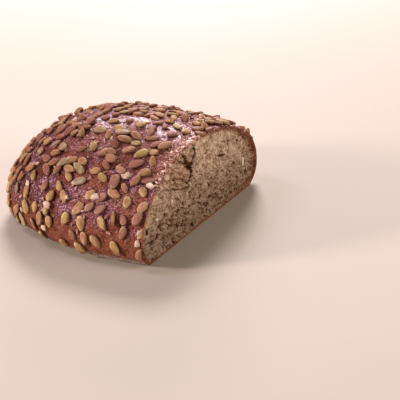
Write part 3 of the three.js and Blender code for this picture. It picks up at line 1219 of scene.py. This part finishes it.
def crust_material():
    """Glazed crust: mahogany with lilac glints, orange and floured at the foot, with painted lilac sheen,
    glint specks and highlights, and painted shade at the far end, on the top, in its hollows and round the
    seeds.
    """
    constants = {"Coat Roughness": 0.1, "Coat IOR": 2.1, "Specular Tint": (1.0, 0.84, 1.0, 1)}
    material, graph, shader, place = new_material("baked_crust", constants)
    fade, noise, attribute = graph.fade, graph.noise, graph.attribute
    x, _, z = graph.axes(place)
    patches = noise(place, 14, 3, 0.6)
    mottle = noise(place, 5.5, 3, 0.6)
    grain = noise(place, 1.3, 2, 0.6)
    sparkle = noise(place, 1.3, 1, 0.5)
    glazed = fade(z, 22, 36) * fade(patches, 0.44, 0.56) * fade(x, -70, -30)
    # Where the front is glazed, the lilac sheen and glint specks are painted into the colour
    front_painted_sheen = glazed * fade(z, 82, 66, 0.15, 1.0)
    glints = fade(sparkle, 0.5, 0.6) * glazed * fade(z, 76, 60, 0.15, 1.0)
    crackle = fade(noise(place, 1.9, 3, 0.7, 0.8), 0.45, 0.54)
    strewn = fade(noise(place, 1.6, 2, 0.6), 0.54, 0.62, 0.0, 0.5) * fade(z, 70, 80) * fade(x, -60, -20)
    gloss = graph.largest(on_gloss_patches(graph, place) * crackle, strewn)
    mahogany = graph.mix(fade(mottle, 0.32, 0.68), (120, 63, 50), (152, 91, 73), "mahogany")
    layers = (
        ("dark grain", (88, 32, 17), fade(grain, 0.5, 0.38, 0.0, 0.6)),
        ("light grain", (192, 130, 108), fade(grain, 0.53, 0.64, 0.0, 0.6)),
        # painted lilac sheen: the lilac lamp's reflection on the glaze
        ("painted lilac sheen", (144, 88, 114), front_painted_sheen * 0.36),
        ("orange foot", (158, 94, 68), fade(z, 32, 14, 0.0, 0.5)),
        ("dark foot", (90, 40, 26), fade(z, 34, 16) * fade(patches, 0.5, 0.36) * 0.4),
        # painted shade darkens the far end
        ("far end", (66, 28, 15), fade(x, 40, -40, 0.0, 0.9) * fade(z, 14, 46, 0.4, 1.0)),
        # painted shade darkens the top
        ("painted shade on top", (102, 45, 27), fade(z, 60, 78) * fade(x, 60, -10, 0.6, 1.0) * 0.7),
        # painted shade in the hollows of the wrinkles
        ("painted shade in hollows", (78, 26, 11), fade(attribute("wrinkle"), 0.0, -0.16, 0.0, 0.5)),
        # painted glints: pale lilac specks on the glazed front
        ("painted glint specks", (224, 182, 214), fade(sparkle, 0.56, 0.66) * front_painted_sheen * 0.45),
        # painted highlight in the glossy patches
        ("painted highlight", (206, 162, 174), gloss * 0.5),
        # painted shade round the seeds, where they meet the crust
        ("painted shade round the seeds", (74, 22, 8), fade(attribute("seed_gap"), 0.9, 0.1, 0.0, 0.4)),
        ("torn flecks", (200, 146, 126), attribute("torn") * fade(grain, 0.4, 0.6) * 0.7),
        ("flour", (216, 204, 194), fade(z, 9, 3) * fade(grain, 0.36, 0.52) * fade(x, -10, 40) * 0.9),
    )
    looks = {
        "Base Color": graph.layered(mahogany, layers),
        "Specular IOR Level": fade(glints, 0.0, 1.0, 0.06, 1.0),
        "Roughness": fade(glints, 0.0, 1.0, 0.5, 0.13),
        "Normal": bumped(graph, grain * 1.8 + mottle, 0.8),
        "Coat Weight": gloss,
        "Coat Normal": bumped(graph, noise(place, 2.2, 2, 0.6), 2.4),
    }
    graph.feed(shader, looks)
    return material


def ring_colour(graph, y, z, blotch):
    """The baked ring round the crumb: paler in front, on the top and along the base."""
    front = graph.fade(y, 20, -60) * graph.fade(z, 12, 30)
    top, base = graph.fade(z, 66, 82, 0.0, 0.5), graph.fade(z, 7, 2, 0.0, 0.35)
    colour = graph.mix(graph.largest(front, top, base), (98, 42, 20), (170, 108, 66), "baked ring")
    return graph.mix(graph.fade(blotch, 0.45, 0.62, 0.0, 0.5), colour, (150, 92, 58), "mottled ring")


def crumb_material():
    """Brown crumb: pale and dark grains, partly painted light and shade after the relief, a torn part of
    golden crags with painted shade between them and painted light on their tops, painted shade in the
    pits, tear and holes and low down, and a baked ring at its rim.
    """
    constants = {"Roughness": 0.9, "Specular IOR Level": 0.2}
    material, graph, shader, place = new_material("crumb", constants)
    fade, noise, attribute = graph.fade, graph.noise, graph.attribute
    _, y, z = graph.axes(place)
    drawn_out = along_pores(graph, place)
    blotch = noise(drawn_out, 6.0, 3, 0.6)
    speckle = noise(drawn_out, 1.3, 2, 0.6)
    grain = (speckle - 0.5) * 0.9 + attribute("grain")
    rougher = fade(z, 60, 30, 0.6, 0.85)
    patchy = fade(noise(drawn_out, 13, 2, 0.5), 0.38, 0.6, 0.5, 1.1)
    distance, chance = graph.cells(drawn_out, 5.5)
    few = fade(graph.axes(chance)[0], 0.84, 0.88)
    crag = attribute("crag")
    ring = attribute("ring") + (speckle * 1.2 - 0.6)
    crumb = graph.mix(fade(blotch, 0.34, 0.66), (154, 118, 90), (216, 184, 154), "crumb")
    layers = (
        # the dark and pale grains follow the crumb's speckle and its relief: partly painted shade in the
        # low parts and painted light on the high parts
        ("dark grain", (98, 56, 28), fade(grain, 0.0, -0.2) * rougher * patchy),
        ("pale grain", (238, 214, 192), fade(grain, 0.0, 0.2, 0.0, 0.7)),
        ("pale bits", (240, 218, 192), fade(distance, 0.3, 0.18) * few * 0.85),
        ("torn", (174, 126, 92), fade(attribute("torn"), 0.1, 0.9, 0.0, 0.45)),
        # painted shade between the crags
        ("painted shade between the crags", (102, 52, 20), fade(crag, -0.1, -0.8, 0.0, 0.8)),
        # painted light on the tops of the crags
        ("painted light on the crag tops", (220, 184, 156), fade(crag, 0.2, 0.9, 0.0, 0.45)),
        # painted shade on the lower part of the cut face
        ("painted shade low down", (108, 76, 54), fade(z, 66, 14, 0.0, 0.55)),
        # painted shade in the pits
        ("pits", (88, 42, 12), fade(attribute("pit"), 0.2, 1.0, 0.0, 0.9)),
        # painted shade in the tear and holes, darker where they are deeper
        ("painted shade in the tear and holes", (88, 42, 13), fade(attribute("tear"), 0.2, 1.6, 0.0, 0.92)),
        ("ring", ring_colour(graph, y, z, blotch), fade(ring, 1.6, 0.5, 0.0, 0.92)),
    )
    graph.feed(shader, {"Base Color": graph.layered(crumb, layers), "Normal": bumped(graph, speckle, 0.8)})
    return material


def base_material():
    """Floured underside."""
    material, graph, shader, place = new_material("floured_base", {"Roughness": 0.85})
    flour = graph.fade(graph.noise(place, 9, 4, 0.65), 0.42, 0.6)
    colour = graph.mix(flour, (122, 74, 52), (206, 194, 182))
    relief = bumped(graph, graph.noise(place, 2.0, 3, 0.6), 0.5)
    graph.feed(shader, {"Base Color": colour, "Normal": relief})
    return material


def tone_colour(graph, tone):
    """The colour of a seed's skin by its tone."""
    ramp_node = graph.add("ShaderNodeValToRGB", {"Fac": tone})
    elements = ramp_node.color_ramp.elements
    while len(elements) < len(SEED_TONES):
        elements.new(0.5)
    for element, (share, colour) in zip(elements, SEED_TONES):
        element.position = share
        element.color = srgb(*colour)
    return graph.result(ramp_node, "Color")


def seed_material():
    """Toasted seed skin: olive in the middle, paler round its margin, pinker or browner in patches, with a
    painted highlight along the rim and painted shade underneath, at the far end and on the top.
    """
    material, graph, shader, place = new_material("toasted_seed_skin", {"Specular IOR Level": 0.05})
    fade, noise = graph.fade, graph.noise
    x, _, z = graph.axes(place)
    tone = graph.attribute("tone")
    along, across, up = graph.axes(graph.attribute("kernel_place", "Vector"))
    own = tone * TONE_APART
    middle = graph.vector("LENGTH", graph.join(along, across, 0.0))
    cloud = noise(graph.join(along, across, own), 1.1, 2, 0.5)
    streak = noise(graph.join(along, across * 2.5, own), 0.8, 3, 0.6)
    # Painted shade at the far end and on the top, lighter on the palest seeds
    far_end = fade(x, 30, -45, 0.0, 0.9) * fade(z, 26, 50, 0.4, 1.0)
    top_painted_shade = fade(z, 50, 76) * fade(x, 60, -10, 0.55, 1.0)
    far_and_top_painted_shade = graph.largest(far_end, top_painted_shade) * fade(tone, 0.4, 0.95, 1.0, 0.8)
    layers = (
        ("ripe middle", (166, 138, 72), fade(middle, 0.8, 0.2) * fade(tone, 0.5, 0.8) * 0.5),
        ("margin", (208, 172, 134), fade(middle, 0.6, 0.92) * fade(tone, 0.1, 0.6, 0.15, 0.4)),
        # painted highlight along each seed's rim
        ("painted highlight on the rim", (236, 210, 176), fade(middle, 0.72, 0.8) * fade(middle, 0.9, 0.82) * 0.35),
        ("clouds", (166, 110, 88), fade(cloud, 0.5, 0.6, 0.0, 0.5)),
        ("streaks", (128, 78, 56), fade(streak, 0.48, 0.66, 0.0, 0.4)),
        ("toasted", (124, 70, 52), fade(noise(place, 5, 2, 0.5), 0.5, 0.66, 0.0, 0.45)),
        # painted shade on each seed's underside
        ("underside", (84, 44, 30), fade(up, 0.2, -0.4, 0.0, 0.6)),
        # painted shade at the far end and on the top
        ("far_and_top_painted_shade", (108, 60, 40), far_and_top_painted_shade * 0.8),
    )
    looks = {
        "Base Color": graph.layered(tone_colour(graph, tone), layers),
        "Roughness": fade(streak, 0.3, 0.7, 0.45, 0.65),
        "Normal": bumped(graph, streak, 0.2),
    }
    graph.feed(shader, looks)
    return material


def flesh_material(name, dark, light):
    """Pale inside of a seed."""
    material, graph, shader, place = new_material(name, {"Roughness": 0.6})
    cloud = graph.noise(place, 2.4, 3, 0.6)
    colour = graph.mix(graph.fade(cloud, 0.35, 0.65), dark, light)
    graph.feed(shader, {"Base Color": colour, "Normal": bumped(graph, cloud, 0.4)})
    return material


def flake_material():
    """Splintered crust: brown skin and pale crumb, mixed in clouds and by each flake's tone."""
    material, graph, shader, place = new_material("flaked_crust", {"Roughness": 0.55})
    cloud = graph.noise(place, 1.6, 3, 0.6)
    share = graph.attribute("tone") + (cloud * 1.2 - 0.6)
    colour = graph.mix(graph.fade(share, 0.1, 0.8), (150, 94, 80), (230, 190, 166))
    graph.feed(shader, {"Base Color": colour, "Normal": bumped(graph, cloud, 0.4)})
    return material


def floor_material():
    """Plain pale floor."""
    constants = {"Roughness": 0.8, "Specular IOR Level": 0.1}
    material, graph, shader, place = new_material("pale_floor", constants)
    cloud = graph.noise(place, 180, 2, 0.5)
    graph.feed(shader, {"Base Color": graph.mix(cloud, (178, 166, 152), (183, 171, 157))})
    return material


# The pieces


def make_seeds():
    """Whole seeds, snapped ones, chips of crust, and slivers in the crumb."""
    seeds = scatter_seeds()
    random = np.random.default_rng(PLACING_START)
    tree = kernel_tree()
    flesh = flesh_material("pale_seed_flesh", (190, 150, 124), (224, 192, 170))
    inner_flesh = flesh_material("inner_seed_flesh", (232, 220, 188), (252, 246, 226))
    placings = whole_seed_placings(seeds, random) + standing_seed_placings(random)
    whole = make_kernels(tree, "pumpkin_seeds", placings, seed_material())
    trim_kernels(whole, flesh)
    broken = make_kernels(tree, "broken_seeds", broken_seed_placings(seeds, random), flesh)
    chips = flake_placings(random) + skin_flake_placings(random) + rim_chip_placings(random)
    flakes = make_kernels(tree, "crust_flakes", chips, flake_material())
    slivers = make_kernels(tree, "seed_slivers", sliver_placings(), inner_flesh)
    return whole, broken, flakes, slivers


def make_bread(seeds):
    """The bread, with dips in its crust where the seeds lie."""
    skins = (crust_material(), crumb_material(), base_material())
    settings = {"Seeds": seeds, **RELIEF_SIZES, **dict(zip(SURFACES, skins))}
    bread = run_tree(new_piece("bread", bread_mesh()), relief_tree(), settings)
    bread.data.set_sharp_from_angle(angle=SHARP_ANGLE)
    return bread


def make_floor():
    """The floor that the loaf lies on."""
    mesh = bpy.data.meshes.new("floor")
    corners = [(FLOOR_REACH * a, FLOOR_REACH * b, 0) for a, b in ((-1, -1), (1, -1), (1, 1), (-1, 1))]
    mesh.from_pydata(corners, [], [(0, 1, 2, 3)])
    mesh.materials.append(floor_material())
    floor = new_piece("floor", mesh)


def aim(item, place, target):
    """Sets a lamp or camera in its place, facing a target."""
    item.location = place
    item.rotation_euler = (Vector(target) - Vector(place)).to_track_quat("-Z", "Y").to_euler()


def make_light():
    """Soft lamps and a dim room."""
    for name, place, (width, height), power, colour in LIGHTS:
        light = bpy.data.lights.new(name, "AREA")
        light.shape = "RECTANGLE"
        light.size = width
        light.size_y = height
        light.energy = power
        light.color = colour
        aim(new_piece(name, light), place, LIGHT_TARGET)
    world = bpy.data.worlds.new("studio")
    bpy.context.scene.world = world
    world.use_nodes = True
    background = world.node_tree.nodes["Background"]
    background.inputs["Color"].default_value = ROOM_COLOUR
    background.inputs["Strength"].default_value = ROOM_STRENGTH
    bpy.context.scene.view_settings.view_transform = "Standard"


def make_camera():
    """The camera at the photograph's viewing angle."""
    camera = new_piece("camera", bpy.data.cameras.new("camera"))
    camera.data.sensor_width = SENSOR_WIDTH
    camera.data.lens = CAMERA_LENS
    camera.data.clip_start = CLIP_START
    aim(camera, Vector(CAMERA_PLACE) * MM, Vector(CAMERA_TARGET) * MM)
    bpy.context.scene.camera = camera


make_camera()
make_light()
make_floor()
whole_seeds, broken_seeds, flakes, slivers = make_seeds()
bread = make_bread(whole_seeds)

slots = (
    (bread, "crust"),
    (whole_seeds, "pumpkin_seed"),
    (broken_seeds, "pumpkin_seed"),
    (flakes, "crust"),
    (slivers, "pumpkin_seed"),
)
for piece, slot in slots:
    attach(piece, "root")
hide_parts("loaf")
